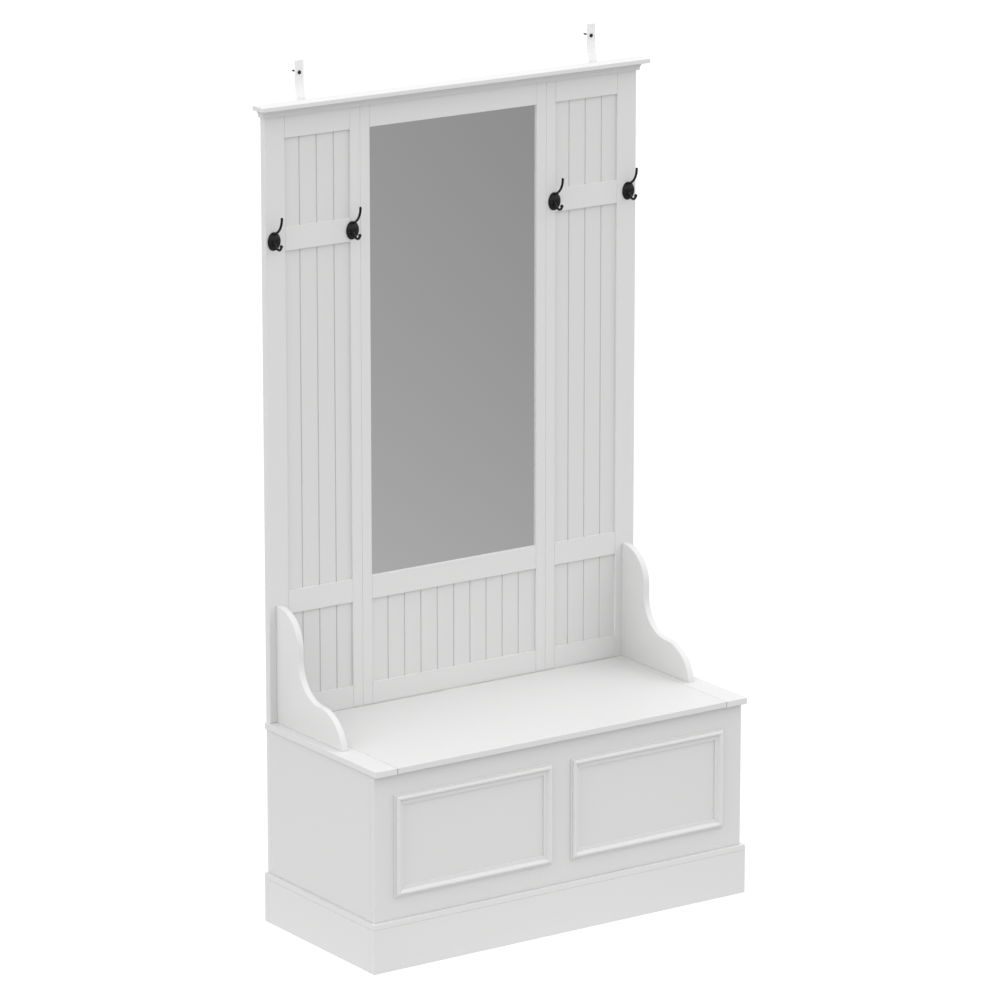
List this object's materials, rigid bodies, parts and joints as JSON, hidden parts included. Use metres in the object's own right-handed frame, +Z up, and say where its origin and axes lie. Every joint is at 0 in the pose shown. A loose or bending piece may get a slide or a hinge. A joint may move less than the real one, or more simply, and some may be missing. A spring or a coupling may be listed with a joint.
{
  "type": "hall tree",
  "caption": "Hall tree: storage bench with lift-up seat and curved arms under a panelled back with mirror, coat hooks and moulded crown.",
  "frame": {"origin": "on the floor, midway between the two ends and midway between the seat's front edge and the tips of the wall screws", "axes": "+X to the right seen from the front, +Y towards the wall, +Z up"},
  "size_m": [1.023, 0.4876, 1.9305],
  "materials": {
    "white_paint": "satin white paint on board",
    "mirror_silver": "silvered float glass",
    "backing_board": "raw fibreboard",
    "hook_metal": "black satin powder coat",
    "black_screw": "black oxide",
    "hinge_enamel": "white enamel on steel",
    "zinc_steel": "zinc plated",
    "webbing": "white woven nylon",
    "bumper_rubber": "soft pale rubber"
  },
  "bodies": {
    "carcass": {"plinth_front": "white_paint", "plinth_rear": "white_paint", "plinth_left": "white_paint", "plinth_right": "white_paint", "plinth_brace": "white_paint", "plinth_cap_front": "white_paint", "plinth_cap_sides": "white_paint", "plinth_cap_rear": "white_paint", "box_bottom": "white_paint", "box_front": "white_paint", "box_rear": "white_paint", "box_left": "white_paint", "box_right": "white_paint", "seat_battens": "white_paint", "moulding_left": "white_paint", "moulding_right": "white_paint", "seat_strip_left": "white_paint", "seat_strip_right": "white_paint", "seat_strip_rear": "white_paint", "hinge_box_leaves": "hinge_enamel", "hinge_pins": "zinc_steel", "stay_plates": "zinc_steel", "seat_arm_left": "white_paint", "seat_arm_right": "white_paint", "outer_stile_left": "white_paint", "outer_stile_right": "white_paint", "inner_stile_left": "white_paint", "inner_stile_right": "white_paint", "mirror_stile_left": "white_paint", "mirror_stile_right": "white_paint", "top_rails": "white_paint", "hook_rails": "white_paint", "low_rails": "white_paint", "bottom_rails": "white_paint", "mirror_rail": "white_paint", "beadboard_left": "white_paint", "beadboard_right": "white_paint", "beadboard_centre": "white_paint", "mirror_glass": "mirror_silver", "mirror_backing": "backing_board", "crown_board": "white_paint", "crown_cove": "white_paint", "coat_hook_1": "hook_metal", "coat_hook_2": "hook_metal", "coat_hook_3": "hook_metal", "coat_hook_4": "hook_metal", "hook_screws": "black_screw", "wall_strap_left": "webbing", "wall_strap_right": "webbing", "strap_screws": "black_screw", "wall_screws": "black_screw", "join_plates": "zinc_steel"},
    "lid": {"seat_lid": "white_paint", "lid_bumpers": "bumper_rubber", "hinge_lid_leaves": "hinge_enamel", "lid_brackets": "zinc_steel", "stay_rivets": "zinc_steel"},
    "stay_left": {"stay_arm_left": "zinc_steel"},
    "stay_right": {"stay_arm_right": "zinc_steel"}
  },
  "joints": [
    {"name": "lid_hinge", "type": "hinge", "parent": "carcass", "child": "lid", "pos_m": [0, 0.1857, 0.4575], "axis": [-1, 0, 0], "range_deg": [0, 85]},
    {"name": "stay_left_pivot", "type": "hinge", "parent": "lid", "child": "stay_left", "pos_m": [-0.4334, 0.09115, 0.42494], "axis": [-1, 0, 0], "range_deg": [-42.5, 0]},
    {"name": "stay_right_pivot", "type": "hinge", "parent": "lid", "child": "stay_right", "pos_m": [0.4334, 0.09115, 0.42494], "axis": [-1, 0, 0], "range_deg": [-42.5, 0]}
  ],
  "couplings": [
    {"joint": "stay_left_pivot", "follows": "lid_hinge", "ratio": -0.5},
    {"joint": "stay_right_pivot", "follows": "lid_hinge", "ratio": -0.5}
  ]
}
